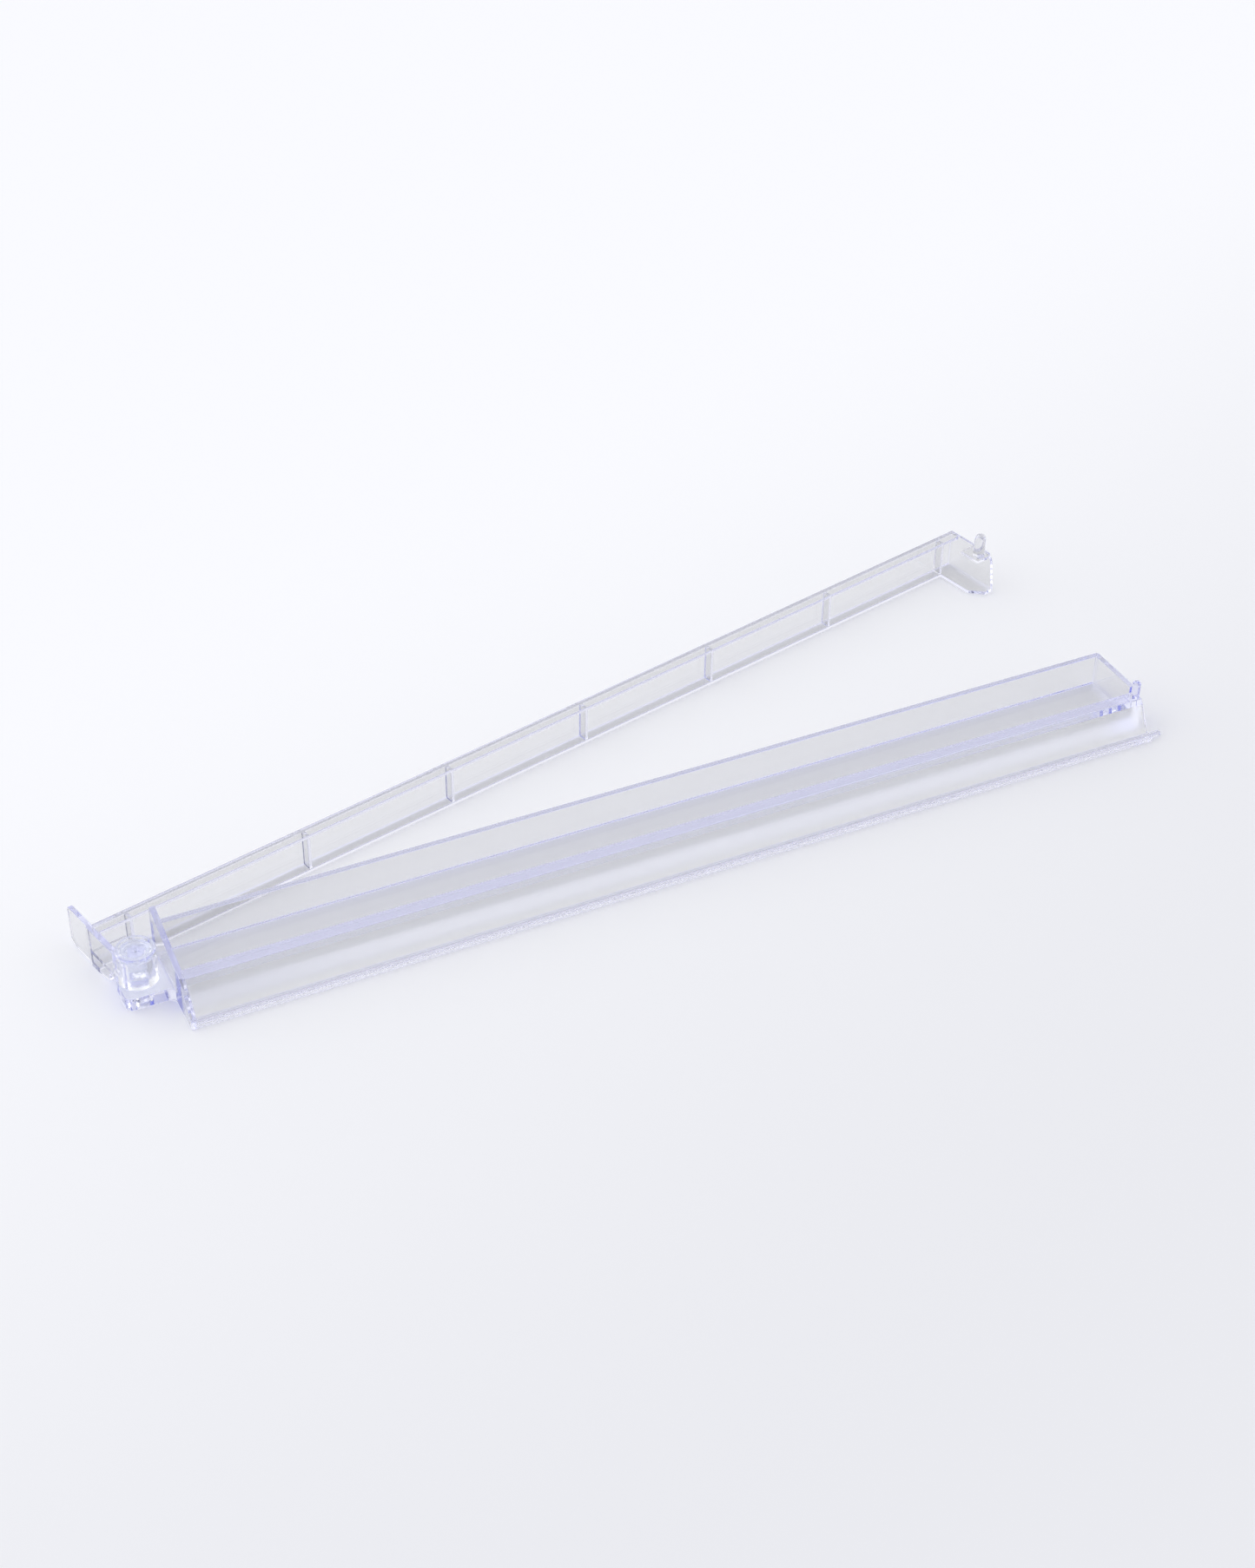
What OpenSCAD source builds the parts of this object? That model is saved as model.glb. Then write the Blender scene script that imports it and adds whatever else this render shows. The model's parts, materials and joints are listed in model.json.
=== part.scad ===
// Clear moulded tile rack with a swinging pusher arm.
// Origin: centre of the rack's flat underside, on the table. +X runs along the rack
// away from the hinge, +Y points from the player's side to the pusher side, +Z is up.

/* [Rack] */
// Length of the rack between the outer faces of its ends
rack_len = 470; // [300:1:560]
// Depth of the rack from the front lip to the outer face of the back wall
rack_depth = 49.6; // [46:0.1:70]
// Height of the back wall
back_h = 19.8; // [14:0.1:23]
// Thickness of the back wall
back_t = 2.8; // [2:0.1:4]
// Thickness of the trough floor
floor_t = 4.4; // [2:0.1:6]
// Height of the ridge over the tile ramp
ridge_h = 16.7; // [12:0.1:18]
// Width of the flat top of the ridge
ridge_w = 6.5; // [4:0.1:10]
// Distance from the front of the lip to the front edge of the ridge
ridge_y = 12.3; // [9:0.1:15]

/* [Tile ledge] */
// Height of the front lip
lip_h = 3.4; // [2.6:0.1:5]
// Thickness of the front lip
lip_t = 1.6; // [1:0.1:2.5]
// Thickness of the ledge that the tiles stand on
ledge_t = 2.2; // [1.5:0.1:2.5]
// Distance from the front of the lip to the foot of the ramp
ramp_y = 4.2; // [3.5:0.1:6]
// Thickness of the sheet that makes the ramp, hollow beneath
ramp_t = 1.6; // [1.4:0.1:2.4]

/* [End pieces] */
// Thickness of the left end plate and the right end wall
end_t = 2.6; // [2:0.1:4]
// Height of the left end plate at its back corner
plate_h = 28; // [24:0.1:34]
// Height that the end plate stands above the ridge at the front
plate_over = 1.1; // [0.5:0.1:2]
// Corner radius of the right end's back corner
corner_r = 2.4; // [1:0.1:3]
// Radius of the round post on the right end of the ridge
post_r = 2; // [1.5:0.1:2.5]
// Height of the round post above the ridge
post_h = 9.2; // [6:0.1:12]
// Length of the peg that sticks out at the lower right corner
peg_len = 6; // [4:0.1:8]
// Width and height of the peg
peg_w = 2.2; // [1.5:0.1:2.4]

/* [Pivot] */
// Distance from the left end plate's outer face to the pivot axis
pivot_out = 11.4; // [10.5:0.1:14]
// Distance from the front of the lip to the pivot axis
pivot_y = 32.8; // [28:0.1:35]
// Thickness of the tab that carries the pivot
tab_t = 6; // [5:0.1:8]
// Distance from the front of the lip to the front edge of the tab
tab_y = 21.3; // [18:0.1:22]
// Radius of the pivot pin's shank
pin_r = 4; // [3:0.1:5]
// Radial running clearance of the hub on the pin
pin_gap = 0.05; // [0.02:0.01:0.1]
// Radius of the pivot pin's head
head_r = 6.7; // [6:0.1:7]
// Thickness of the pivot pin's head
head_t = 2; // [1.5:0.1:3]
// Outer radius of the arm's hub
hub_r = 8.5; // [8:0.1:9]
// Height of the hub's top above the table
hub_top = 22.6; // [20:0.1:24]

/* [Pusher arm] */
// Angle that the arm stands open at rest
arm_open = 13.3; // [0:0.1:76]
// Distance from the rack's back wall to the arm's pushing face when closed
arm_out = 9.4; // [8.5:0.1:14]
// Height of the arm's underside above the table
arm_z0 = 0.4; // [0.3:0.1:2]
// Height of the arm's top above the table
arm_z1 = 20.6; // [18:0.1:22]
// Depth of the arm's channel
arm_d = 6.5; // [5:0.1:8]
// Wall thickness of the arm's channel
arm_t = 1.6; // [1.2:0.1:2]
// Thickness of a stiffening rib
rib_t = 1.5; // [1:0.1:2]

/* [Arm ends] */
// Gap between the closed arm's far leg and the rack's right end
leg_gap = 0.9; // [0.7:0.1:2]
// Width of the far leg
leg_w = 12; // [10:0.1:14]
// Distance that the far leg reaches forward of the pushing face
leg_reach = 31.7; // [28:0.1:34]
// Length of the finger tab behind the hinge end
finger_len = 16.5; // [10:0.1:20]
// Thickness of the finger tab
finger_t = 2.2; // [1.6:0.1:3]
// Radius of the knob on the far leg, at its foot
knob_r = 3.2; // [2.4:0.1:3.4]
// Height of the knob above the arm's top
knob_h = 13.2; // [8:0.1:15]

/* [Hidden] */
$fn = 48;

clear_violet = [0.84, 0.85, 0.97, 0.5];
clear_grey = [0.90, 0.91, 0.95, 0.5];

// Rack outline
plate_lead = 0.3;
plate_lip = 0.4;
post_inset = 0.2;
post_setback = 0.4;
peg_setback = 0.4;
x_left = -rack_len / 2;
x_right = rack_len / 2;
y_front = -rack_depth / 2;
y_back = rack_depth / 2;
y_ridge = y_front + ridge_y;
y_trough = y_ridge + ridge_w;
y_wall = y_back - back_t;
x_body0 = x_left + end_t;
x_wall = x_right - end_t;
ramp_lean = (ridge_y - ramp_y) / (ridge_h - ledge_t);
ramp_across = ramp_t * sqrt(1 + ramp_lean * ramp_lean);
y_hollow = y_front + ramp_y + ramp_across - ledge_t * ramp_lean;
z_hollow = (y_ridge - y_hollow) / ramp_lean;

// Pivot
x_piv = x_left - pivot_out;
y_piv = y_front + pivot_y;
tab_side = 8.9;
tab_back = 10.7;
tab_corner_r = 3;
tab_back_r = 8;
tab_fillet_r = 2;
cut = 1;
hub_lift = 0.3;
hub_z0 = tab_t + hub_lift;
head_sink = 0.7;
head_gap = 0.4;
head_z1 = hub_top - head_sink;
head_z0 = head_z1 - head_t;
sink_gap = 0.3;
sink_z = head_z0 - sink_gap;
pin_z0 = 0.8;
dish_depth = 0.7;
dish_rim = 1.1;
nub_r = 0.8;

// Arm, drawn closed and then turned open about the pivot
y_face = y_back + arm_out;
y_open = y_face - arm_d;
leg_inset = 0.3;
x_leg_out = x_piv - hub_r + leg_inset;
finger_inset = 0.6;
x_chan0 = x_leg_out + finger_inset + finger_t;
x_leg_in = x_right + leg_gap;
x_elbow = x_leg_in + leg_w;
x_chan1 = x_elbow - arm_t;
y_leg_end = y_face - leg_reach;
leg_level = 9.6;
leg_rise = 2;
leg_chamfer = 6;
foot_lead = 0.6;
nose_lean = 2.2;
nose_h = 3.4;
nose_back = 4.7;
finger_toe = 4;
finger_toe_h = 3;
finger_nose = 1;
rib_count = 5;
first_rib = 86.3;
last_rib_gap = 1;
rib_setback = 0.4;
x_hinge_rib = x_left - 1.6;
rib_x0 = x_left + first_rib;
rib_pitch = (x_leg_in - last_rib_gap - rib_x0) / rib_count;
rib_z0 = arm_z0 + arm_t;
rib_z1 = arm_z1 - arm_t;
web_t = 2;
knob_x = x_leg_in + 5.7;
knob_y = y_face - 25.4;
knob_taper = 0.5;
knob_margin = 0.5;
top_plate_len = 12;
top_plate_inset = 1.5;

// Rack -------------------------------------------------------------------

module bar_along_x(x0, x1, outline) {
  translate([x0, 0, 0])
    rotate([90, 0, 90])
      linear_extrude(x1 - x0)
        polygon(outline);
}

module front_lip() {
  color(clear_grey)
    translate([x_body0, y_front, 0])
      cube([x_right - x_body0, lip_t, lip_h]);
}

module tile_ledge() {
  color(clear_grey)
    translate([x_body0, y_front + lip_t, 0])
      cube([x_right - x_body0, ramp_y - lip_t, ledge_t]);
}

module tile_ramp() {
  color(clear_violet)
    bar_along_x(x_body0, x_right, [
      [y_front + ramp_y, 0],
      [y_hollow, 0],
      [y_ridge, z_hollow],
      [y_ridge, ridge_h],
      [y_front + ramp_y, ledge_t]
    ]);
}

module trough_ridge() {
  color(clear_violet)
    translate([x_body0, y_ridge, 0])
      cube([x_right - x_body0, ridge_w, ridge_h]);
}

module trough_floor() {
  color(clear_grey)
    translate([x_body0, y_trough, 0])
      cube([x_wall - x_body0, y_wall - y_trough, floor_t]);
}

module back_wall() {
  color(clear_violet)
    translate([x_body0, y_wall, 0])
      cube([x_wall - x_body0, back_t, back_h]);
}

module left_end_plate() {
  color(clear_violet)
    bar_along_x(x_left, x_body0, [
      [y_front, 0],
      [y_back, 0],
      [y_back, plate_h],
      [y_ridge - plate_lead, ridge_h + plate_over],
      [y_front, lip_h + plate_lip]
    ]);
}

module right_end_wall() {
  color(clear_grey)
    linear_extrude(back_h) {
      translate([x_wall, y_trough])
        square([end_t, rack_depth - ridge_y - ridge_w - corner_r]);
      translate([x_wall, y_back - corner_r])
        square([end_t - corner_r, corner_r]);
      intersection() {
        translate([x_right - corner_r, y_back - corner_r])
          circle(r = corner_r);
        translate([x_right - corner_r, y_back - corner_r])
          square(corner_r);
      }
    }
}

module ridge_post() {
  color(clear_violet)
    translate([x_right - post_r - post_inset, y_ridge + post_r + post_setback, ridge_h])
      rotate_extrude() {
        square([post_r, post_h - post_r]);
        translate([0, post_h - post_r])
          intersection() {
            circle(r = post_r);
            square(post_r);
          }
      }
}

module corner_peg() {
  color(clear_violet)
    translate([x_right, y_front + lip_t + peg_setback, ledge_t - peg_w])
      cube([peg_len, peg_w, peg_w]);
}

module tab_outline() {
  difference() {
    union() {
      translate([-tab_side + tab_corner_r, tab_y - pivot_y])
        square([tab_side + pivot_out - tab_corner_r, tab_back + pivot_y - tab_y]);
      translate([-tab_side, tab_y - pivot_y + tab_corner_r])
        square([tab_corner_r, tab_back + pivot_y - tab_y - tab_corner_r]);
      translate([-tab_side + tab_corner_r, tab_y - pivot_y + tab_corner_r])
        circle(r = tab_corner_r);
      translate([pivot_out - tab_fillet_r, tab_y - pivot_y - tab_fillet_r])
        difference() {
          square(tab_fillet_r);
          circle(r = tab_fillet_r);
        }
    }
    translate([-tab_side - cut, tab_back - tab_back_r])
      difference() {
        square([tab_back_r + cut, tab_back_r + cut]);
        translate([tab_back_r + cut, 0])
          circle(r = tab_back_r);
      }
  }
}

module pivot_tab() {
  color(clear_violet)
    translate([x_piv, y_piv, 0])
      difference() {
        linear_extrude(tab_t)
          tab_outline();
        translate([0, 0, pin_z0])
          cylinder(r = pin_r, h = tab_t);
      }
}

module pivot_pin() {
  color(clear_grey)
    translate([x_piv, y_piv, 0])
      rotate_extrude()
        polygon([
          [0, pin_z0],
          [pin_r, pin_z0],
          [pin_r, head_z0],
          [head_r, head_z0],
          [head_r, head_z1],
          [head_r - dish_rim, head_z1],
          [head_r - dish_rim - dish_depth, head_z1 - dish_depth],
          [nub_r, head_z1 - dish_depth],
          [nub_r, head_z1 - dish_depth / 2],
          [0, head_z1 - dish_depth / 2]
        ]);
}

// Arm --------------------------------------------------------------------

module swung() {
  translate([x_piv, y_piv, 0])
    rotate([0, 0, arm_open])
      translate([-x_piv, -y_piv, 0])
        children();
}

module hub_barrel() {
  color(clear_grey)
    swung()
      translate([x_piv, y_piv, 0])
        difference() {
          translate([0, 0, hub_z0])
            cylinder(r = hub_r, h = hub_top - hub_z0);
          translate([0, 0, hub_z0 - cut])
            cylinder(r = pin_r + pin_gap, h = hub_top);
          translate([0, 0, sink_z])
            cylinder(r = head_r + head_gap, h = hub_top);
        }
}

module hinge_web() {
  color(clear_grey)
    swung()
      difference() {
        translate([x_chan0, y_piv, hub_z0])
          cube([x_piv + hub_r - x_chan0, y_face - arm_t - y_piv, web_t]);
        translate([x_piv, y_piv, hub_z0 - cut])
          cylinder(r = hub_r, h = web_t + 2 * cut);
      }
}

module hinge_leg() {
  color(clear_violet)
    swung()
      difference() {
        bar_along_x(x_leg_out, x_chan0, [
          [y_piv, hub_z0],
          [y_piv + leg_level, hub_z0],
          [y_piv + leg_level, arm_z0 + leg_rise],
          [y_open, arm_z0],
          [y_face, arm_z0],
          [y_face, arm_z1],
          [y_piv, arm_z1]
        ]);
        translate([x_piv, y_piv, 0])
          cylinder(r = hub_r, h = hub_top);
      }
}

module finger_tab() {
  color(clear_violet)
    swung()
      bar_along_x(x_leg_out + finger_inset, x_leg_out + finger_inset + finger_t, [
        [y_face, arm_z0],
        [y_face + finger_len - finger_toe, arm_z0],
        [y_face + finger_len, arm_z0 + finger_toe_h],
        [y_face + finger_len, arm_z1 - finger_nose],
        [y_face + finger_len - finger_nose, arm_z1],
        [y_face, arm_z1]
      ]);
}

module arm_face() {
  color(clear_grey)
    swung()
      translate([x_chan0, y_face - arm_t, arm_z0])
        cube([x_chan1 - x_chan0, arm_t, arm_z1 - arm_z0]);
}

module arm_flange(z0) {
  color(clear_violet)
    swung()
      translate([x_chan0, y_open, z0])
        cube([x_chan1 - x_chan0, arm_d - arm_t, arm_t]);
}

module arm_rib(x) {
  color(clear_violet)
    swung()
      translate([x - rib_t / 2, y_open + rib_setback, rib_z0])
        cube([rib_t, arm_d - arm_t - rib_setback, rib_z1 - rib_z0]);
}

module leg_wall() {
  color(clear_grey)
    swung()
      bar_along_x(x_chan1, x_elbow, [
        [y_leg_end, arm_z0 + arm_t],
        [y_face, arm_z0 + arm_t],
        [y_face, arm_z1],
        [y_leg_end + nose_back, arm_z1],
        [y_leg_end + nose_lean, arm_z1 - nose_h]
      ]);
}

module leg_foot() {
  color(clear_grey)
    swung()
      translate([0, 0, arm_z0])
        linear_extrude(arm_t)
          polygon([
            [x_chan1, y_face],
            [x_elbow, y_face],
            [x_elbow, y_leg_end],
            [x_leg_in + leg_chamfer, y_leg_end - foot_lead],
            [x_leg_in, y_leg_end + leg_chamfer],
            [x_leg_in, y_open],
            [x_chan1, y_open]
          ]);
}

module leg_top() {
  color(clear_grey)
    swung()
      translate([x_leg_in + top_plate_inset, knob_y - knob_r - knob_margin, arm_z1 - arm_t])
        cube([x_chan1 - x_leg_in - top_plate_inset, top_plate_len, arm_t]);
}

module knob() {
  color(clear_violet)
    swung()
      translate([knob_x, knob_y, arm_z1])
        rotate_extrude() {
          polygon([
            [0, 0],
            [knob_r, 0],
            [knob_r - knob_taper, knob_h - knob_r],
            [0, knob_h - knob_r]
          ]);
          translate([0, knob_h - knob_r])
            intersection() {
              circle(r = knob_r - knob_taper);
              square(knob_r);
            }
        }
}

front_lip();
tile_ledge();
tile_ramp();
trough_ridge();
trough_floor();
back_wall();
left_end_plate();
right_end_wall();
ridge_post();
corner_peg();
pivot_tab();
pivot_pin();
hub_barrel();
hinge_web();
hinge_leg();
finger_tab();
arm_face();
arm_flange(arm_z1 - arm_t);  // arm_top_flange
arm_flange(arm_z0);  // arm_bottom_flange
arm_rib(x_hinge_rib);  // hinge_rib
for (i = [1 : rib_count])
  arm_rib(rib_x0 + (i - 1) * rib_pitch);
arm_rib(x_leg_in);  // elbow_rib
leg_wall();
leg_foot();
leg_top();
knob();
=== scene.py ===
"""Looks of the clear tile rack with a swinging pusher arm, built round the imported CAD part."""
import json
import math

import bmesh
import bpy
from mathutils import Matrix, Vector
from mathutils.bvhtree import BVHTree

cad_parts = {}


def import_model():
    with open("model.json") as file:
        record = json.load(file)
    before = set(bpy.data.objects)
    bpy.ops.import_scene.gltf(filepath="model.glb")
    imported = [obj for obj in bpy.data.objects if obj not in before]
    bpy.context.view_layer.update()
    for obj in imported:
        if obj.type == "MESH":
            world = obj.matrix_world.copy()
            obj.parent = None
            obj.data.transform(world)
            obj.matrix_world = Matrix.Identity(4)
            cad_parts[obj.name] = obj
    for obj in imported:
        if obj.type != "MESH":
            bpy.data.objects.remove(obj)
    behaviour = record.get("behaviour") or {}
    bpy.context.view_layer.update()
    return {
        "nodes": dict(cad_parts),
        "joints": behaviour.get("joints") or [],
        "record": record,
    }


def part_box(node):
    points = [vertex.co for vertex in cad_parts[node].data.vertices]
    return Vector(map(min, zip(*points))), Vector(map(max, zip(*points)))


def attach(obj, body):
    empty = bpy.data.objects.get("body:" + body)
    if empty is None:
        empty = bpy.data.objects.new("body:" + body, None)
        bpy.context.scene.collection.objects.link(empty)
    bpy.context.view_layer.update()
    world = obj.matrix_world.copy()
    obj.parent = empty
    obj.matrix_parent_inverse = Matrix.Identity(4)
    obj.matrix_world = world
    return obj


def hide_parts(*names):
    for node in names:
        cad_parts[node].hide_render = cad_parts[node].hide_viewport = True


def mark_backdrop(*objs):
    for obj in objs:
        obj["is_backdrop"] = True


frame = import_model()
MM = 0.001
BODIES = frame["record"]["behaviour"]["bodies"]
JOINT = frame["joints"][0]
PIVOT = Vector((JOINT["pos_m"][0], JOINT["pos_m"][1], 0.0))
ARM_OPEN = -math.radians(JOINT["range_deg"][0])

# Joining of sections
OVERLAP = 0.4 * MM               # how far one section of a moulding runs into the next
SKIN = 0.03 * MM                 # keeps the faces of joined sections from lying in one plane
PAST = 1 * MM                    # how far a cutter or a round part runs past the face that it meets
WELD = 0.002 * MM                # points closer than this become one

# Edges
EDGE = 0.2 * MM                  # rounding of the mouldings' outer edges
EDGE_ANGLE = math.radians(40)    # an edge that turns further than this is rounded
CREASE_ANGLE = math.radians(32)  # an edge that turns further than this is shaded as a crease
ARC_STEPS = 4                    # segments in a rounded corner of an outline
ARC_ROOM = 0.45                  # share of an outline's side that the arc at one end may take
TURN_STEPS = 64                  # segments round a turned part

# Marks that the plastic's material reads from the faces
RIM_FROM = 1.2                   # depth over width at which a face starts to look tinted as a rim
RIM_TO = 2.4                     # depth over width at which it is fully tinted
SAME_WAY = 0.97                  # cosine between two directions above which they count as the same
HINGE_R = 11 * MM                # faces whose middle is this near the pivot, in plan, get painted light: a clearer tint that lightens the shade under the hub
UNDERSIDE_PAINTED_LIGHT = 0.6          # how much of that painted light the rack's underside gets, lightening the shade on the paper beneath
RAMP_PAINTED_LIGHT = 0.5               # and its ramp


# Helpers ---------------------------------------------------------------------------------

def swung():
    """The turn that opens the closed arm to its rest angle."""
    return Matrix.Translation(PIVOT) @ Matrix.Rotation(ARM_OPEN, 4, "Z") @ Matrix.Translation(-PIVOT)


def closed_box(node):
    """Lowest and highest corner of an arm node with the arm closed."""
    back = swung().inverted()
    points = [back @ v.co for v in frame["nodes"][node].data.vertices]
    low = Vector([min(p[i] for p in points) for i in range(3)])
    high = Vector([max(p[i] for p in points) for i in range(3)])
    return low, high


def middle(low, high):
    """The centre of a box in plan."""
    return Vector(((low.x + high.x) / 2, (low.y + high.y) / 2, 0))


def rounded(corners):
    """An outline of (a, b, radius) corners with each corner turned into an arc."""
    points = []
    count = len(corners)
    for i, (a, b, radius) in enumerate(corners):
        here = Vector((a, b))
        if radius <= 0:
            points.append(here)
            continue
        to_last = Vector(corners[i - 1][:2]) - here
        to_next = Vector(corners[(i + 1) % count][:2]) - here
        room = ARC_ROOM * min(to_last.length, to_next.length)
        to_last.normalize()
        to_next.normalize()
        half = math.acos(max(-1.0, min(1.0, to_last.dot(to_next)))) / 2
        reach = min(radius / math.tan(half), room)
        radius = reach * math.tan(half)
        centre = here + (to_last + to_next).normalized() * radius / math.sin(half)
        start = here + to_last * reach - centre
        turn = start.angle_signed(here + to_next * reach - centre)
        for step in range(ARC_STEPS + 1):
            angle = -turn * step / ARC_STEPS
            c, s = math.cos(angle), math.sin(angle)
            points.append(centre + Vector((start.x * c - start.y * s, start.x * s + start.y * c)))
    return points


def dome(radius, top):
    """The (radius, z) points of a half sphere, up to its highest one."""
    turns = [math.pi / 12 * i for i in range(6)]
    return [*[(radius * math.cos(t), top - radius + radius * math.sin(t)) for t in turns], (0, top)]


def make_object(name, bm):
    bmesh.ops.recalc_face_normals(bm, faces=bm.faces)
    mesh = bpy.data.meshes.new(name)
    bm.to_mesh(mesh)
    bm.free()
    obj = bpy.data.objects.new(name, mesh)
    bpy.context.scene.collection.objects.link(obj)
    return obj


def extrude(name, outline, place, start, end):
    """A prism: place(a, b, t) puts the outline's point (a, b) at t along the extrusion."""
    bm = bmesh.new()
    rings = [[bm.verts.new(place(p[0], p[1], t)) for p in outline] for t in (start, end)]
    bm.faces.new(rings[0])
    bm.faces.new(list(reversed(rings[1])))
    count = len(outline)
    for i in range(count):
        j = (i + 1) % count
        bm.faces.new((rings[0][i], rings[1][i], rings[1][j], rings[0][j]))
    return make_object(name, bm)


def applied(obj):
    """Gives obj the mesh that its modifiers make of it."""
    seen = obj.evaluated_get(bpy.context.evaluated_depsgraph_get())
    mesh = bpy.data.meshes.new_from_object(seen)
    obj.modifiers.clear()
    obj.data = mesh
    return obj


def bevelled(obj):
    """Rounds the rims of a clean prism, before it is joined to anything."""
    bevel = obj.modifiers.new("edges", "BEVEL")
    bevel.width = EDGE
    bevel.segments = 2
    bevel.limit_method = "ANGLE"
    bevel.angle_limit = EDGE_ANGLE
    return applied(obj)


def along_x(name, outline, x0, x1):
    return bevelled(extrude(name, outline, lambda a, b, t: (t, a, b), x0, x1))


def along_z(name, outline, z0, z1):
    return bevelled(extrude(name, outline, lambda a, b, t: (a, b, t), z0, z1))


def block(name, low, high):
    """A box with its edges rounded."""
    outline = [(low[0], low[1]), (high[0], low[1]), (high[0], high[1]), (low[0], high[1])]
    return along_z(name, outline, low[2], high[2])


def corner_cutter(x, y, radius, z_top):
    """What lies outside a quarter round at the corner (x, y), set just off the faces so as to cross them."""
    x += 2 * SKIN
    y += 2 * SKIN
    turns = [math.pi / 16 * i for i in range(9)]
    arc = [(x - radius + radius * math.sin(t), y - radius + radius * math.cos(t)) for t in turns]
    outline = [(x + PAST, y + PAST), (x - radius, y + PAST), *arc, (x + PAST, y - radius)]
    return extrude("corner", outline, lambda a, b, t: (a, b, t), -PAST, z_top + PAST)


def lathe(name, profile, centre):
    """A solid turned about +Z through centre, from (radius, z) points that start and end on the axis."""
    bm = bmesh.new()
    rings = []
    for radius, z in profile:
        if radius <= 0:
            rings.append([bm.verts.new((centre.x, centre.y, z))])
            continue
        turns = [2 * math.pi * i / TURN_STEPS for i in range(TURN_STEPS)]
        rings.append([bm.verts.new((centre.x + radius * math.cos(t), centre.y + radius * math.sin(t), z))
                      for t in turns])
    for low, high in zip(rings, rings[1:]):
        for i in range(TURN_STEPS):
            j = (i + 1) % TURN_STEPS
            if len(low) == 1:
                bm.faces.new((low[0], high[i], high[j]))
            elif len(high) == 1:
                bm.faces.new((low[i], low[j], high[0]))
            else:
                bm.faces.new((low[i], low[j], high[j], high[i]))
    return make_object(name, bm)


def combine(base, others, operation="UNION"):
    """Adds the other solids to base, or cuts them from it, as one watertight mesh."""
    for other in others:
        cut = base.modifiers.new("combine", "BOOLEAN")
        cut.operation = operation
        cut.solver = "EXACT"
        cut.object = other
        applied(base)
        bpy.data.objects.remove(other)
    return base


def shaded(obj):
    """Smooths the shading over rounded edges, and keeps large faces flat so that they refract truly."""
    for face in obj.data.polygons:
        face.use_smooth = True
    obj.data.set_sharp_from_angle(angle=CREASE_ANGLE)
    weighted = obj.modifiers.new("flat_faces", "WEIGHTED_NORMAL")
    weighted.mode = "FACE_AREA"
    weighted.weight = 100
    weighted.keep_sharp = True
    return applied(obj)


def finished(obj, turned=()):
    """Drops slivers left by joining the sections, shades the moulding and marks its rims."""
    bm = bmesh.new()
    bm.from_mesh(obj.data)
    bmesh.ops.remove_doubles(bm, verts=bm.verts, dist=WELD)
    bmesh.ops.dissolve_degenerate(bm, edges=bm.edges, dist=WELD)
    bm.to_mesh(obj.data)
    bm.free()
    shaded(obj)
    mark_rims(obj.data, turned)
    return obj


def mark(mesh, name, amount):
    """Gives each face the value amount(face), from 0 to 1, under a name that the material reads."""
    layer = mesh.attributes.new(name, "FLOAT", "FACE")
    for face in mesh.polygons:
        layer.data[face.index].value = float(amount(face))


def mark_rims(mesh, turned):
    """Marks each face by how deep the plastic behind it is for the face's width.

    turned lists (centre, radius) of upright round parts, whose facets are narrow without being rims.
    """
    tree = BVHTree.FromPolygons([v.co for v in mesh.vertices], [p.vertices for p in mesh.polygons])

    def rim(face):
        if any((face.center - centre).xy.length < radius for centre, radius in turned):
            return 0.0
        depth = tree.ray_cast(face.center - face.normal * SKIN, -face.normal)[3] or 0.0
        corners = [mesh.vertices[i].co for i in face.vertices]
        longest = max((a - b).length for a, b in zip(corners, corners[1:] + corners[:1]))
        width = face.area / longest
        return max(0.0, min(1.0, (depth / width - RIM_FROM) / (RIM_TO - RIM_FROM)))

    mark(mesh, "rim", rim)


def near_pivot(face):
    """Whether a face is near the pivot in plan, as those of the hub and of the tab below it are."""
    return (face.center - PIVOT).xy.length < HINGE_R


# Plastic ---------------------------------------------------------------------------------

CLEAR = (0.855, 0.855, 0.855)       # tint of a face, each time that light crosses it
PAINTED_LIGHT_CLEAR = (0.965, 0.97, 0.985)      # painted light: a clearer tint where faces are so marked, lightening the shade under the hub, tab and rack
PIN_CLEAR = (0.98, 0.99, 1.0)       # and on the pin
RIM_VIOLET = (0.86, 0.86, 0.97)     # and on rims
INSIDE_RAMP = (1.0, 0.995, 0.925)   # and on the ramp's satin inner face
SATIN = 0.6                         # roughness of that face
DEPTH_VIOLET = (0.60, 0.63, 1.0)    # what the depth of the plastic lets through
DEPTH_PER_M = 6.0                   # density of that absorption
IOR = 1.5
HAZE_TINT = 0.008                   # how much the haze lightens the tint
HAZE_ROUGH = (0.004, 0.03)          # roughness where the haze is thinnest and thickest
RIPPLES_PER_M = 60.0
HAZE_PER_M = 160.0
SCRATCHES_PER_M = 900.0
RIPPLE_BUMP = (0.1, 0.3 * MM)       # strength and height
SCRATCH_BUMP = (0.03, 0.04 * MM)
ALONG_MOULDING = (0.15, 1, 1)       # stretch of the flow ripples along X
ALONG_PIN = (1, 1, 0.3)             # and along Z


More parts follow.
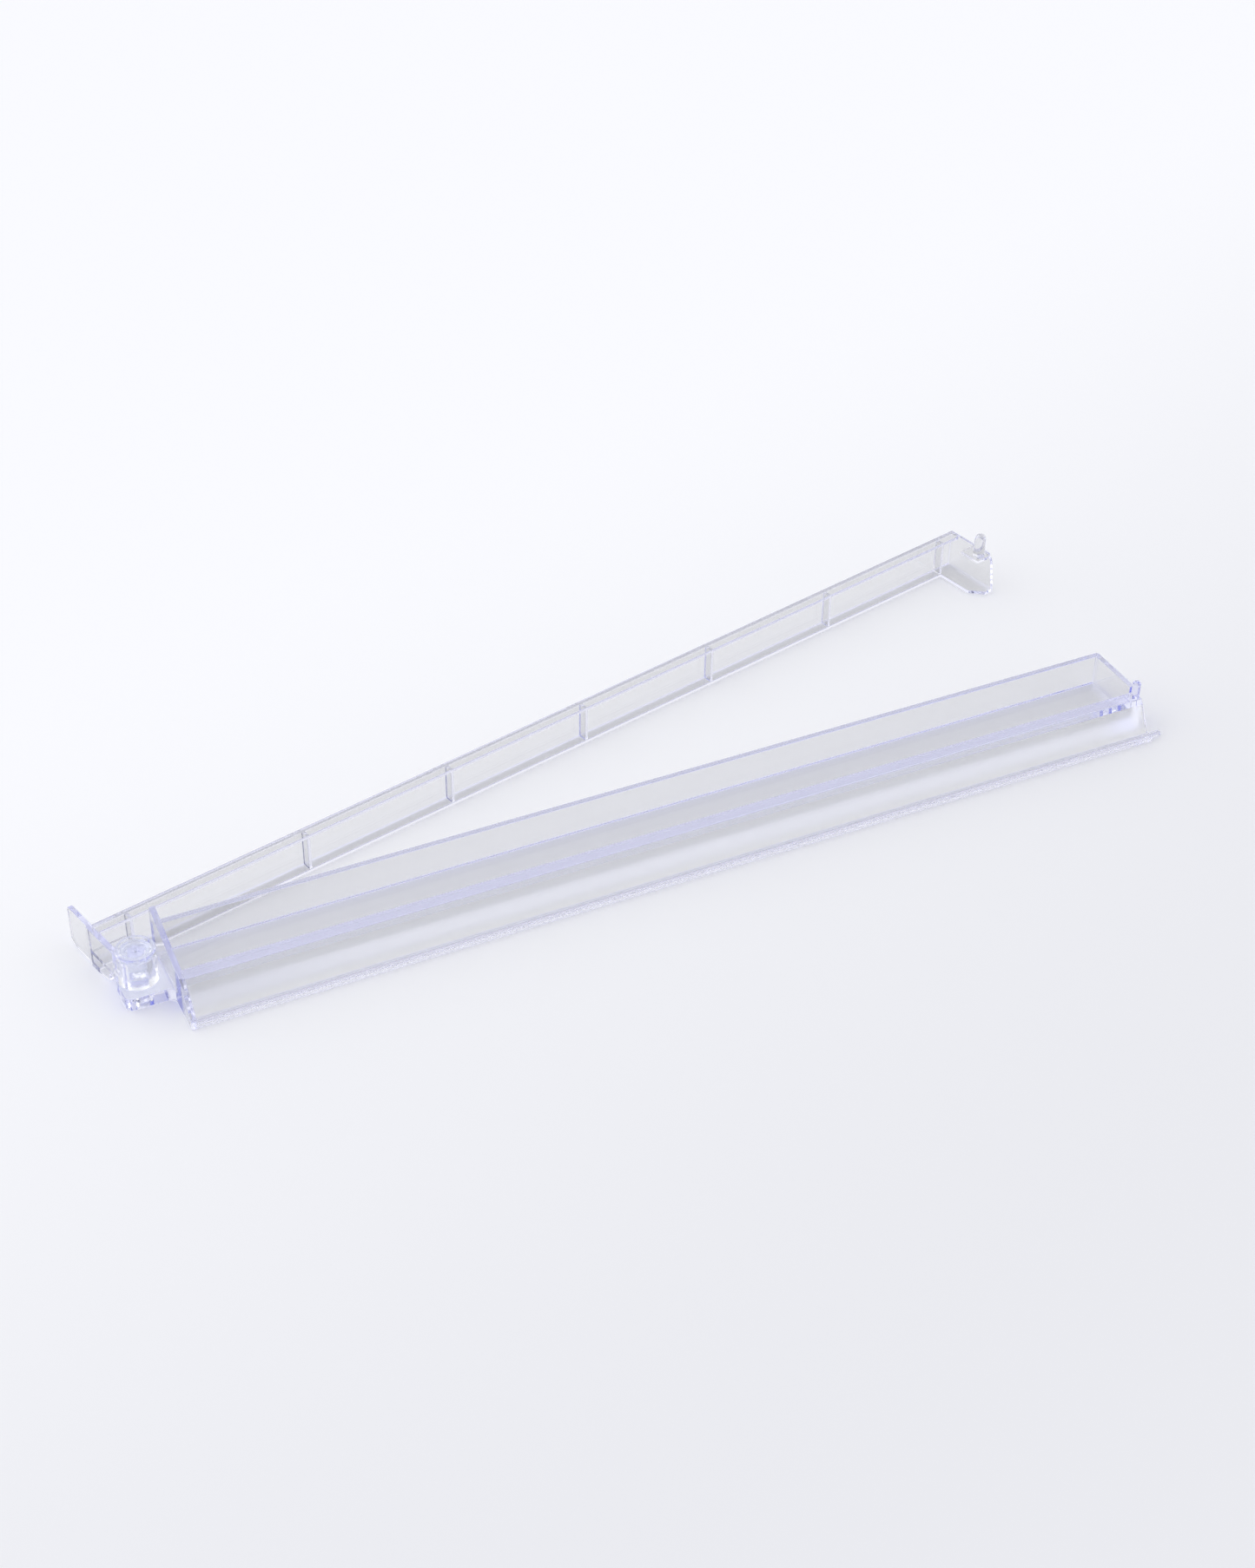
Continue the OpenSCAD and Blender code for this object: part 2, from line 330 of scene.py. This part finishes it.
def clear_plastic(name, tint, stretch):
    """Polished clear plastic with violet rims, painted light on marked faces, flow ripples, faint haze and
    fine scratches.
    """
    mat = bpy.data.materials.new(name)
    mat.use_nodes = True
    nodes, links = mat.node_tree.nodes, mat.node_tree.links
    shader = nodes["Principled BSDF"]
    shader.inputs["Transmission Weight"].default_value = 1.0
    shader.inputs["IOR"].default_value = IOR
    place = nodes.new("ShaderNodeTexCoord")

    def noise(scale, spread, detail):
        mapping = nodes.new("ShaderNodeMapping")
        mapping.inputs["Scale"].default_value = spread
        links.new(place.outputs["Object"], mapping.inputs["Vector"])
        tex = nodes.new("ShaderNodeTexNoise")
        tex.inputs["Scale"].default_value = scale
        tex.inputs["Detail"].default_value = detail
        links.new(mapping.outputs["Vector"], tex.inputs["Vector"])
        return tex.outputs["Fac"]

    def between(value, low, high):
        """Spreads the middle of a noise over the range from low to high."""
        fit = nodes.new("ShaderNodeMapRange")
        fit.inputs["From Min"].default_value = 0.3
        fit.inputs["From Max"].default_value = 0.7
        fit.inputs["To Min"].default_value = low
        fit.inputs["To Max"].default_value = high
        links.new(value, fit.inputs["Value"])
        return fit.outputs["Result"]

    def marked(mark_name):
        node = nodes.new("ShaderNodeAttribute")
        node.attribute_name = mark_name
        return node.outputs["Fac"]

    def mixed(factor, first, second):
        mix = nodes.new("ShaderNodeMix")
        mix.data_type = "RGBA"
        links.new(factor, mix.inputs["Factor"])
        for socket, colour in (("A", first), ("B", second)):
            if isinstance(colour, tuple):
                mix.inputs[socket].default_value = (*colour, 1)
            else:
                links.new(colour, mix.inputs[socket])
        return mix.outputs["Result"]

    def bump(height, strength, distance, last=None):
        node = nodes.new("ShaderNodeBump")
        node.inputs["Strength"].default_value = strength
        node.inputs["Distance"].default_value = distance
        links.new(height, node.inputs["Height"])
        if last is not None:
            links.new(last, node.inputs["Normal"])
        return node.outputs["Normal"]

    ripples = noise(RIPPLES_PER_M, stretch, 1.0)
    haze = noise(HAZE_PER_M, (0.4, 1.0, 1.0), 3.0)
    scratches = noise(SCRATCHES_PER_M, (0.05, 1.0, 1.0), 1.0)
    satin = marked("satin")

    hazy = tuple(min(1.0, c + HAZE_TINT) for c in tint)
    # painted light: faces marked painted_light take a clearer tint, which lightens the shade that falls under
    # them
    clear = mixed(marked("painted_light"), mixed(between(haze, 0.0, 1.0), tint, hazy), PAINTED_LIGHT_CLEAR)
    body = mixed(marked("rim"), clear, RIM_VIOLET)
    links.new(mixed(satin, body, INSIDE_RAMP), shader.inputs["Base Color"])

    rough = nodes.new("ShaderNodeMath")
    rough.operation = "MULTIPLY_ADD"
    rough.inputs[1].default_value = SATIN
    links.new(satin, rough.inputs[0])
    links.new(between(haze, *HAZE_ROUGH), rough.inputs[2])
    links.new(rough.outputs["Value"], shader.inputs["Roughness"])

    wavy = bump(ripples, *RIPPLE_BUMP)
    links.new(bump(scratches, *SCRATCH_BUMP, wavy), shader.inputs["Normal"])

    depth = nodes.new("ShaderNodeVolumeAbsorption")
    depth.inputs["Color"].default_value = (*DEPTH_VIOLET, 1)
    depth.inputs["Density"].default_value = DEPTH_PER_M
    links.new(depth.outputs["Volume"], nodes["Material Output"].inputs["Volume"])
    return mat


# Rack moulding ---------------------------------------------------------------------------

RAMP_T = 1.6 * MM        # thickness of the sheet that makes the ramp
PLATE_OVER = 1.1 * MM    # end plate above the ridge
PLATE_OUT = 0.3 * MM     # its upper corner in front of the ridge
PLATE_LIP = 0.4 * MM     # and its front above the lip
CORNER_R = 2.4 * MM      # right back corner, in plan
HOLE_R = 4.0 * MM        # hole in the tab, which holds the pin
HOLE_TOP = 20 * MM       # a height above the tab


def rack_sizes():
    lip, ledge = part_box("front_lip"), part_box("tile_ledge")
    ridge, floor_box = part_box("trough_ridge"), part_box("trough_floor")
    wall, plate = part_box("back_wall"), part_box("left_end_plate")
    return {
        "x_left": plate[0].x, "x0": ridge[0].x, "x_wall": wall[1].x, "x1": ridge[1].x,
        "y0": lip[0].y, "y_lip": lip[1].y, "y_foot": ledge[1].y, "y_ridge": ridge[0].y,
        "y_trough": ridge[1].y, "y_wall": wall[0].y, "y1": wall[1].y,
        "z_lip": lip[1].z, "z_ledge": ledge[1].z, "z_ridge": ridge[1].z,
        "z_floor": floor_box[1].z, "z_wall": wall[1].z, "z_plate": plate[1].z,
    }


def rack_moulding():
    """The rack: one long section with an end plate, an end wall, a post, a peg and the tab joined on."""
    s = rack_sizes()
    y_ridge = s["y_ridge"]
    lean = (y_ridge - s["y_foot"]) / (s["z_ridge"] - s["z_ledge"])
    y_hollow = s["y_foot"] + RAMP_T * math.hypot(1, lean) - s["z_ledge"] * lean
    z_hollow = (y_ridge - y_hollow) / lean
    section = rounded([
        (s["y0"], 0.0, 0.5 * MM), (y_hollow, 0.0, 0), (y_ridge, z_hollow, 0), (y_ridge, 0.0, 0),
        (s["y1"], 0.0, 0.5 * MM), (s["y1"], s["z_wall"], 0.6 * MM), (s["y_wall"], s["z_wall"], 0.6 * MM),
        (s["y_wall"], s["z_floor"], 0.9 * MM), (s["y_trough"], s["z_floor"], 0.9 * MM),
        (s["y_trough"], s["z_ridge"], 0.7 * MM), (y_ridge, s["z_ridge"], 0.35 * MM),
        (s["y_foot"], s["z_ledge"], 0.4 * MM), (s["y_lip"], s["z_ledge"], 0.3 * MM),
        (s["y_lip"], s["z_lip"], 0.4 * MM), (s["y0"], s["z_lip"], 0.6 * MM)])
    body = along_x("rack_moulding", section, s["x0"] - OVERLAP, s["x1"])

    plate_outline = rounded([
        (s["y0"] - SKIN, -SKIN, 0.6 * MM), (s["y1"] + SKIN, -SKIN, 0.6 * MM),
        (s["y1"] + SKIN, s["z_plate"], 1.0 * MM),
        (y_ridge - PLATE_OUT, s["z_ridge"] + PLATE_OVER, 1.6 * MM),
        (s["y0"] - SKIN, s["z_lip"] + PLATE_LIP, 0.6 * MM)])
    plate = along_x("plate", plate_outline, s["x_left"], s["x0"])
    end_wall = block("end_wall", (s["x_wall"], s["y_trough"] - SKIN, 0.5 * MM),
                     (s["x1"] - SKIN, s["y_wall"] + OVERLAP, s["z_wall"] - SKIN))
    combine(body, [plate, end_wall, ridge_post(), corner_peg(), pivot_tab(s)])

    corner = corner_cutter(s["x1"], s["y1"], CORNER_R, s["z_wall"])
    hole_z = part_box("pivot_pin")[0].z - 2 * SKIN
    hole = lathe("hole", [(0, hole_z), (HOLE_R, hole_z), (HOLE_R, HOLE_TOP), (0, HOLE_TOP)], PIVOT)
    combine(body, [corner, hole], "DIFFERENCE")
    finished(body)

    inward = Vector((0.0, 1.0, -lean)).normalized()

    def painted_light_share(face):
        """How much painted light a face takes, as a clearer tint: fully near the pivot and at the hollow's
        back.
        """
        hollow_back = -face.normal.y > SAME_WAY and abs(face.center.y - y_ridge) < SKIN
        if near_pivot(face) or hollow_back:
            return 1.0
        if -face.normal.z > SAME_WAY:
            return UNDERSIDE_PAINTED_LIGHT
        if -face.normal.dot(inward) > SAME_WAY:
            return RAMP_PAINTED_LIGHT
        return 0.0

    mark(body.data, "satin", lambda face: face.normal.dot(inward) > SAME_WAY)
    # painted light on the rack: a clearer tint that lightens the shade under the tab, the hollow's back, the
    # underside and the ramp
    mark(body.data, "painted_light", painted_light_share)
    return body


def ridge_post():
    """The round post at the ridge's right end, with a domed top."""
    low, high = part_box("ridge_post")
    radius = (high.x - low.x) / 2
    base = low.z - PAST
    return lathe("post", [(0, base), (radius, base), *dome(radius, high.z)], middle(low, high))


def corner_peg():
    low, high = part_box("corner_peg")
    radius = 0.5 * MM
    outline = rounded([
        (low.y, low.z + SKIN, radius), (high.y, low.z + SKIN, radius),
        (high.y, high.z - SKIN, radius), (low.y, high.z - SKIN, radius)])
    return along_x("peg", outline, low.x - OVERLAP, high.x)


def pivot_tab(s):
    """The tab that carries the pivot: a rounded front corner, a large back sweep and a slanted root."""
    low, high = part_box("pivot_tab")
    front_r, back_r, slant = 3.0 * MM, 8.0 * MM, 2.0 * MM
    x_root = s["x_left"] + OVERLAP
    outline = rounded([
        (low.x, low.y + slant, front_r), (s["x_left"] - slant, low.y + slant, 0),
        (s["x_left"], low.y, 0), (x_root, low.y, 0), (x_root, high.y, 0), (low.x, high.y, back_r)])
    return along_z("tab", outline, low.z, high.z)


# Arm moulding ----------------------------------------------------------------------------

BORE_R = 4.05 * MM       # bore in the hub, which turns on the pin
BORE_TOP = 40 * MM       # a height above the hub
SINK_GAP = 0.4 * MM      # round the pin's head, in the hub's countersink
SINK_DEPTH = 2.3 * MM    # countersink's floor below the top of the head
ELBOW_R = 1.8 * MM       # outer corner between the arm and its far leg, in plan


def arm_sizes():
    face, top = closed_box("arm_face"), closed_box("arm_top_flange")
    wall = closed_box("leg_wall")
    return {
        "x0": face[0].x, "x_wall": wall[0].x, "x1": wall[1].x,
        "y_open": top[0].y, "y_face": face[1].y, "y_end": wall[0].y,
        "z0": face[0].z, "z1": face[1].z, "t": top[1].z - top[0].z,
    }


def arm_moulding():
    """The arm, made closed and then swung open: a channel with ribs, the hub and its leg, and the far leg."""
    s = arm_sizes()
    y_open, y_face, z0, z1, t = s["y_open"], s["y_face"], s["z0"], s["z1"], s["t"]
    lip_r, outer_r, inner_r = 0.35 * MM, 0.5 * MM, 0.6 * MM
    channel = rounded([
        (y_open, z0, lip_r), (y_face, z0, outer_r), (y_face, z1, outer_r), (y_open, z1, lip_r),
        (y_open, z1 - t, lip_r), (y_face - t, z1 - t, inner_r),
        (y_face - t, z0 + t, inner_r), (y_open, z0 + t, lip_r)])
    body = along_x("arm_moulding", channel, s["x0"] - OVERLAP, s["x_wall"] + OVERLAP)

    hub_low, hub_high = closed_box("hub_barrel")
    hub_r = (hub_high.x - hub_low.x) / 2
    knob_low, knob_high = closed_box("knob")
    knob_r = (knob_high.x - knob_low.x) / 2
    knob_at = middle(knob_low, knob_high)
    combine(body, [
        *arm_ribs(), hub(hub_r, hub_low.z, hub_high.z), hinge_web(s), hinge_leg(s, hub_low.z),
        finger_tab(s), *far_leg(s), knob(knob_r, knob_low.z, knob_high.z, knob_at)])

    elbow = corner_cutter(s["x1"] + SKIN, y_face + 2 * SKIN, ELBOW_R, z1)
    pin_low, pin_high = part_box("pivot_pin")
    sink_r = (pin_high.x - pin_low.x) / 2 + SINK_GAP
    sink_z = pin_high.z - SINK_DEPTH
    bore = lathe("bore", [
        (0, 0), (BORE_R, 0), (BORE_R, sink_z), (sink_r, sink_z), (sink_r, BORE_TOP), (0, BORE_TOP)], PIVOT)
    combine(body, [elbow, bore], "DIFFERENCE")
    finished(body, [(PIVOT, hub_r + SKIN), (knob_at, knob_r + SKIN)])
    # painted light on the arm: a clearer tint near the pivot that lightens the shade under the hub
    mark(body.data, "painted_light", near_pivot)
    body.data.transform(swung())
    return body


def arm_ribs():
    """The upright ribs across the channel, each run into the face and the flanges."""
    ribs = []
    for node in ["hinge_rib", *[f"arm_rib_{i}" for i in range(1, 6)], "elbow_rib"]:
        low, high = closed_box(node)
        ribs.append(block(node + "_part", (low.x, low.y, low.z - OVERLAP),
                          (high.x, high.y + OVERLAP, high.z + OVERLAP)))
    return ribs


def hub(radius, z_low, z_high):
    rim = 0.5 * MM
    return lathe("hub", [
        (0, z_low), (radius - rim, z_low), (radius, z_low + rim),
        (radius, z_high - rim), (radius - rim, z_high), (0, z_high)], PIVOT)


def hinge_web(s):
    low, high = closed_box("hinge_web")
    inset = 0.1 * MM
    return block("web", (low.x - OVERLAP, low.y, low.z + SKIN),
                 (high.x - inset, s["y_face"] - s["t"] / 2, high.z))


def hinge_leg(s, hub_z):
    """The wall from the hub to the arm's face, stepped and sloped below to clear the tab."""
    low, high = closed_box("hinge_leg")
    y_step = PIVOT.y + 9.6 * MM
    z_step = s["z0"] + 2 * MM
    bottom = s["z0"] - SKIN
    top = s["z1"] + SKIN
    back = s["y_face"] + SKIN
    outline = rounded([
        (PIVOT.y, hub_z + 2 * SKIN, 0), (y_step, hub_z + 2 * SKIN, 0), (y_step, z_step, 0.6 * MM),
        (s["y_open"], bottom, 0.8 * MM), (back, bottom, 0.5 * MM), (back, top, 0.5 * MM), (PIVOT.y, top, 0)])
    return along_x("leg", outline, low.x, high.x)


def finger_tab(s):
    """The tab behind the arm's face, with its lower back corner cut off."""
    low, high = closed_box("finger_tab")
    root = s["y_face"] - 1.5 * MM
    cut_y, cut_z = 4 * MM, 3 * MM
    bottom = s["z0"] - 2 * SKIN
    top = s["z1"] + 2 * SKIN
    outline = rounded([
        (root, bottom, 0), (high.y - cut_y, bottom, 1.5 * MM), (high.y, s["z0"] + cut_z, 1.5 * MM),
        (high.y, top, 1.4 * MM), (root, top, 0)])
    return along_x("finger", outline, low.x, high.x - SKIN)


def far_leg(s):
    """The leg at the arm's far end: its wall with a sloped edge, its foot, and the shelf under the knob."""
    y_face, y_end, z0, z1, t = s["y_face"], s["y_end"], s["z0"], s["z1"], s["t"]
    x_wall = s["x_wall"]
    slope_r = 1.6 * MM
    slope_top, slope_foot, slope_drop = 4.7 * MM, 2.2 * MM, 3.4 * MM
    wall_outline = rounded([
        (y_end, z0 + t / 2, 0), (y_face + SKIN, z0 + t / 2, 0), (y_face + SKIN, z1 + SKIN, 0.5 * MM),
        (y_end + slope_top, z1 + SKIN, slope_r), (y_end + slope_foot, z1 - slope_drop, slope_r)])
    wall = along_x("far_wall", wall_outline, x_wall, s["x1"])

    foot_low, foot_high = closed_box("leg_foot")
    chamfer = 6 * MM
    x_in = x_wall - SKIN
    x_out = foot_high.x + SKIN
    y_back = y_face + 2 * SKIN
    foot_outline = rounded([
        (x_in, y_back, 0), (x_out, y_back, 0), (x_out, y_end, 1.5 * MM),
        (foot_low.x + chamfer, foot_low.y, 1.5 * MM), (foot_low.x, y_end + chamfer, 2.0 * MM),
        (foot_low.x, s["y_open"] + t, 0), (x_in, s["y_open"] + t, 0)])
    foot = along_z("foot", foot_outline, z0 - 2 * SKIN, z0 + t + SKIN)

    shelf_low, shelf_high = closed_box("leg_top")
    shelf = block("shelf", shelf_low, (x_wall + OVERLAP, shelf_high.y, shelf_high.z - SKIN))
    return [wall, foot, shelf]


def knob(radius, z_low, z_high, centre):
    """The knob on the shelf: a round stem with a slightly smaller domed tip."""
    base = z_low - PAST
    tip_r = radius - 0.5 * MM
    return lathe("knob_part", [(0, base), (radius, base), *dome(tip_r, z_high)], centre)


# Pin -------------------------------------------------------------------------------------

def hinge_pin():
    """The headed pin: a thin-rimmed dished head with a small centre nub, on a plain shank."""
    low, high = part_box("pivot_pin")
    head_r = (high.x - low.x) / 2
    shank_r = 3.96 * MM
    rim = 0.35 * MM
    dish = high.z - 0.7 * MM
    under = high.z - 2.0 * MM
    shank = [(0, low.z), (shank_r - rim, low.z), (shank_r, low.z + rim), (shank_r, under)]
    head = [(head_r - rim, under), (head_r, under + rim), (head_r, high.z - rim), (head_r - rim, high.z)]
    slope = [(head_r - 1.0 * MM, high.z), (head_r - 1.5 * MM, high.z - 0.3 * MM), (head_r - 2.2 * MM, dish)]
    nub = [(1.2 * MM, dish), (0.8 * MM, (high.z + dish) / 2), (0, high.z - (high.z - dish) / 3)]
    return shaded(lathe("hinge_pin", [*shank, *head, *slope, *nub], PIVOT))


# Pieces ----------------------------------------------------------------------------------

def add_piece(piece, body, nodes, slot, tint, stretch):
    """Gives a piece its plastic and its body, and hides the CAD nodes that it stands for."""
    piece.data.materials.append(clear_plastic(slot, tint, stretch))
    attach(piece, body)
    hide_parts(*nodes)


rack_nodes = [node for node in BODIES["rack"] if node != "pivot_pin"]
add_piece(rack_moulding(), "rack", rack_nodes, "rack_plastic", CLEAR, ALONG_MOULDING)
add_piece(arm_moulding(), "arm", BODIES["arm"], "arm_plastic", CLEAR, ALONG_MOULDING)
add_piece(hinge_pin(), "rack", ["pivot_pin"], "pin_plastic", PIN_CLEAR, ALONG_PIN)


# Stage -----------------------------------------------------------------------------------

FLOOR_HALF = 12.0                    # metres from the middle to each side
FLOOR_DROP = 0.2 * MM                # below the rack's underside, so that no two faces share a plane
FADE_TOWARDS = (0.35, -0.94, 0.0)    # to the front, and a little to the right
FADE_REACH = 0.3                     # metres either side of the origin over which the paper fades into the painted shade
PAPER_FAR = (0.965, 0.968, 1.0)
# painted shade: the paper's grey towards the front, where the light falls off
PAPER_NEAR_PAINTED_SHADE = (0.835, 0.838, 0.873)


def floor():
    """White paper with painted shade, greyer towards the front where the light falls off."""
    bm = bmesh.new()
    corners = [(-FLOOR_HALF, -FLOOR_HALF), (FLOOR_HALF, -FLOOR_HALF),
               (FLOOR_HALF, FLOOR_HALF), (-FLOOR_HALF, FLOOR_HALF)]
    bm.faces.new([bm.verts.new((x, y, -FLOOR_DROP)) for x, y in corners])
    obj = make_object("floor", bm)
    mat = bpy.data.materials.new("floor_paper_painted_shade")
    mat.use_nodes = True
    nodes, links = mat.node_tree.nodes, mat.node_tree.links
    shader = nodes["Principled BSDF"]
    place = nodes.new("ShaderNodeTexCoord")
    slope = nodes.new("ShaderNodeVectorMath")
    slope.operation = "DOT_PRODUCT"
    slope.inputs[1].default_value = FADE_TOWARDS
    links.new(place.outputs["Object"], slope.inputs[0])
    fade = nodes.new("ShaderNodeMapRange")
    fade.interpolation_type = "SMOOTHSTEP"
    fade.inputs["From Min"].default_value = -FADE_REACH
    fade.inputs["From Max"].default_value = FADE_REACH
    links.new(slope.outputs["Value"], fade.inputs["Value"])
    mix = nodes.new("ShaderNodeMix")
    mix.data_type = "RGBA"
    mix.inputs["A"].default_value = (*PAPER_FAR, 1)
    mix.inputs["B"].default_value = (*PAPER_NEAR_PAINTED_SHADE, 1)
    links.new(fade.outputs["Result"], mix.inputs["Factor"])
    links.new(mix.outputs["Result"], shader.inputs["Base Color"])
    shader.inputs["Roughness"].default_value = 0.9
    shader.inputs["Specular IOR Level"].default_value = 0.1
    obj.data.materials.append(mat)
    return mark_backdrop(obj)


TENT_STRENGTH = 2.5
TENT_TINT = (0.985, 0.99, 1.0, 1.0)
# Each list holds (cosine between the ray and the direction, brightness).
OVERHEAD = [(0.0, 0.72), (1.0, 0.50), (0.3, 0.74), (0.7, 0.66), (0.88, 0.50)]
UPPER_LEFT = [(0.3, 0.62), (1.0, 1.0), (0.8, 0.85)]
PHOTO_SIDE = [(0.6, 1.0), (1.0, 0.35), (0.85, 0.6)]


def world():
    """A white light tent, brightest at the upper left, dimmer overhead and dimmest on the photo's side."""
    made = bpy.data.worlds.new("studio")
    made.use_nodes = True
    nodes, links = made.node_tree.nodes, made.node_tree.links
    place = nodes.new("ShaderNodeTexCoord")

    def towards(direction, stops):
        """Brightness by how nearly a ray points in the direction."""
        dot = nodes.new("ShaderNodeVectorMath")
        dot.operation = "DOT_PRODUCT"
        dot.inputs[1].default_value = Vector(direction).normalized()
        links.new(place.outputs["Generated"], dot.inputs[0])
        ramp = nodes.new("ShaderNodeValToRGB")
        ramp.color_ramp.interpolation = "EASE"
        for i, (at, grey) in enumerate(stops):
            stop = ramp.color_ramp.elements[i] if i < 2 else ramp.color_ramp.elements.new(at)
            stop.position = at
            stop.color = (grey, grey, grey, 1)
        links.new(dot.outputs["Value"], ramp.inputs["Fac"])
        return ramp.outputs["Color"]

    def product(first, second):
        mul = nodes.new("ShaderNodeMix")
        mul.data_type = "RGBA"
        mul.blend_type = "MULTIPLY"
        mul.inputs["Factor"].default_value = 1.0
        for socket, value in (("A", first), ("B", second)):
            if isinstance(value, tuple):
                mul.inputs[socket].default_value = value
            else:
                links.new(value, mul.inputs[socket])
        return mul.outputs["Result"]

    height = towards((0, 0, 1), OVERHEAD)
    key = towards((-0.8, 0.35, 0.5), UPPER_LEFT)
    front = towards((-0.4, -0.8, 0.45), PHOTO_SIDE)
    sky = product(product(product(height, key), front), TENT_TINT)
    links.new(sky, nodes["Background"].inputs["Color"])
    nodes["Background"].inputs["Strength"].default_value = TENT_STRENGTH
    bpy.context.scene.world = made


CAMERA_AT = (-0.422677, -0.791621, 0.719054)
PITCH = math.radians(37.43)          # downwards from level
YAW = math.radians(26.53)            # from +Y towards +X
ROLL = math.radians(1.023)
LENS_MM = 59.39
SENSOR_MM = 36.0


def camera():
    """The photograph's viewpoint, with its pitch, yaw and roll."""
    level = math.cos(PITCH)
    ahead = Vector((math.sin(YAW) * level, math.cos(YAW) * level, -math.sin(PITCH)))
    right = Vector((math.cos(YAW), -math.sin(YAW), 0))
    up = right.cross(ahead)
    right_rolled = right * math.cos(ROLL) + up * math.sin(ROLL)
    up_rolled = up * math.cos(ROLL) - right * math.sin(ROLL)
    data = bpy.data.cameras.new("camera")
    data.sensor_width = SENSOR_MM
    data.lens = LENS_MM
    data.clip_start = 0.05
    data.clip_end = 100.0
    obj = bpy.data.objects.new("camera", data)
    turn = Matrix((right_rolled, up_rolled, -ahead)).transposed().to_4x4()
    obj.matrix_world = Matrix.Translation(CAMERA_AT) @ turn
    bpy.context.scene.collection.objects.link(obj)
    bpy.context.scene.camera = obj


BOUNCES = 96                         # light crosses many faces on its way through the mouldings
DIFFUSE_BOUNCES = 12


def light_paths():
    """Lets light follow long paths in the clear plastic, and keeps the picture's tones as they are."""
    bpy.context.scene.view_settings.view_transform = "Standard"
    paths = bpy.context.scene.cycles
    paths.max_bounces = BOUNCES
    paths.glossy_bounces = BOUNCES
    paths.transmission_bounces = BOUNCES
    paths.diffuse_bounces = DIFFUSE_BOUNCES
    paths.blur_glossy = 0.0


floor()
world()
light_paths()
camera()
